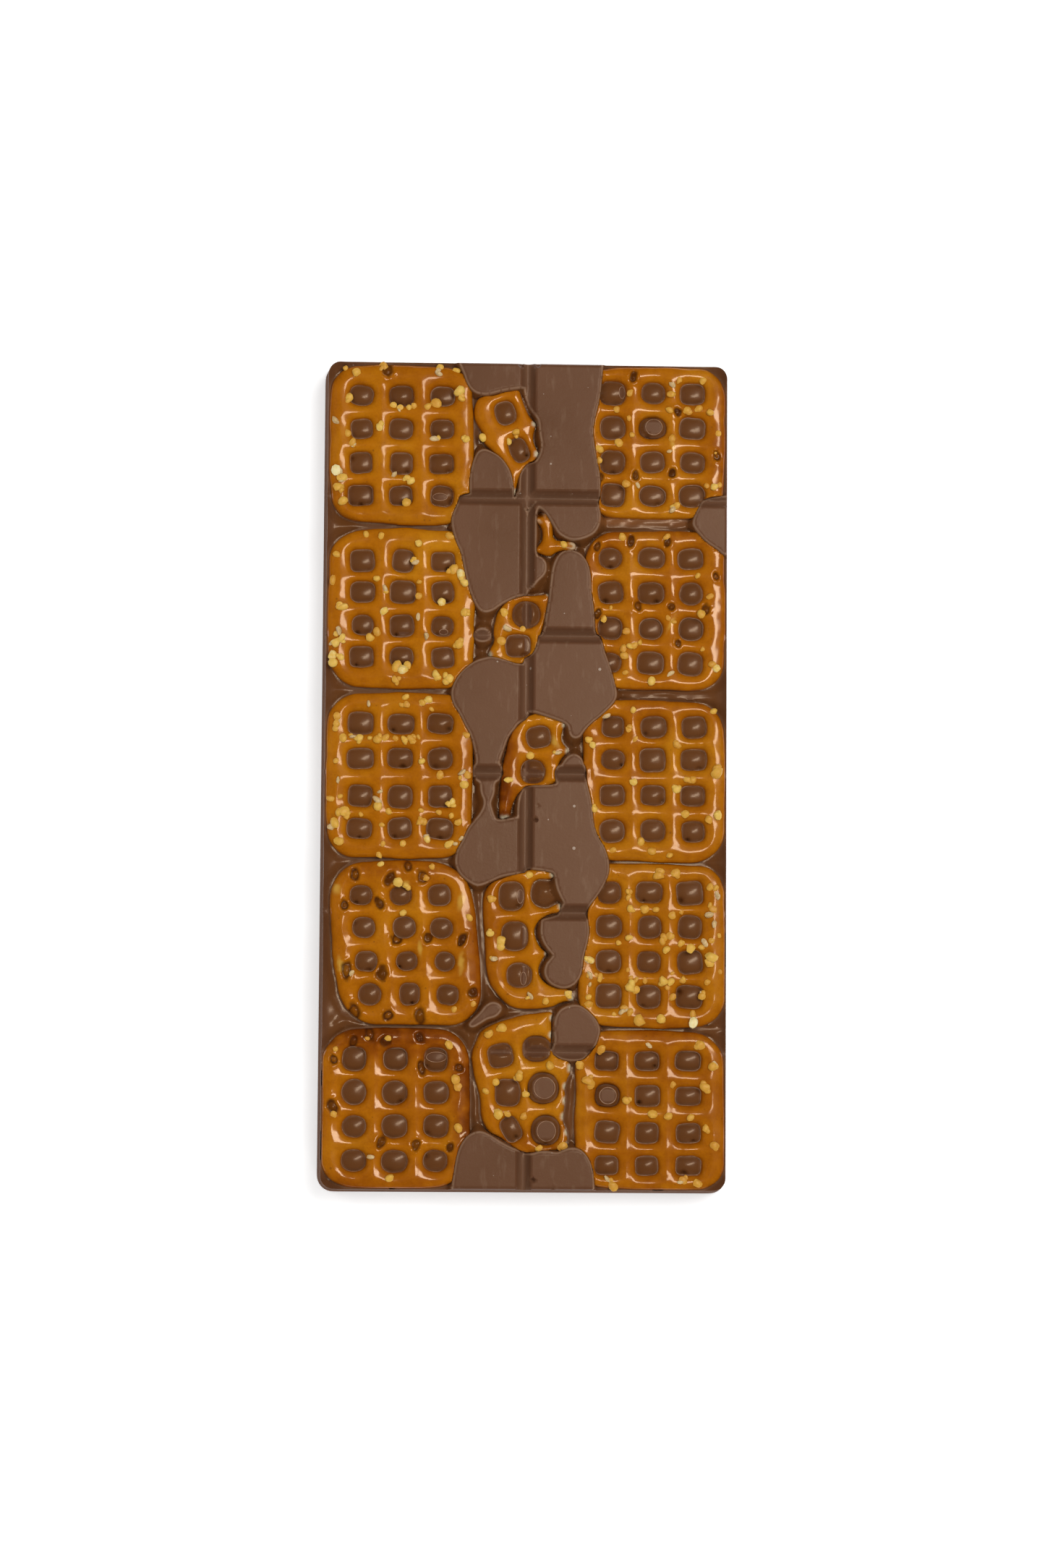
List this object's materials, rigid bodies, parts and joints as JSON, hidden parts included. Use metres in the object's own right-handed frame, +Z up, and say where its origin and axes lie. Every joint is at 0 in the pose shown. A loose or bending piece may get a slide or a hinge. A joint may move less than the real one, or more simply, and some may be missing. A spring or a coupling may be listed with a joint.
{
  "type": "chocolate bark",
  "caption": "Moulded milk chocolate tablet lying face up, with whole and broken salted waffle pretzels set in its grooved face.",
  "frame": {"origin": "middle of the flat back that the tablet lies on", "axes": "+X across the tablet to the right, +Y along its length towards the top row, +Z up out of the pretzel side"},
  "size_m": [0.0788, 0.1606, 0.0095],
  "materials": {
    "milk_chocolate": "satin milk chocolate",
    "pretzel_crust": "glossy baked crust"
  },
  "bodies": {
    "root": {"chocolate": "milk_chocolate", "pretzel_left_1": "pretzel_crust", "pretzel_left_2": "pretzel_crust", "pretzel_left_3": "pretzel_crust", "pretzel_left_4": "pretzel_crust", "pretzel_left_5": "pretzel_crust", "pretzel_right_1": "pretzel_crust", "pretzel_right_2": "pretzel_crust", "pretzel_right_3": "pretzel_crust", "pretzel_right_4": "pretzel_crust", "pretzel_right_5": "pretzel_crust", "pretzel_piece_1": "pretzel_crust", "pretzel_piece_2": "pretzel_crust", "pretzel_piece_3": "pretzel_crust", "pretzel_piece_4": "pretzel_crust", "pretzel_piece_5": "pretzel_crust", "pretzel_piece_6": "pretzel_crust"}
  },
  "joints": []
}
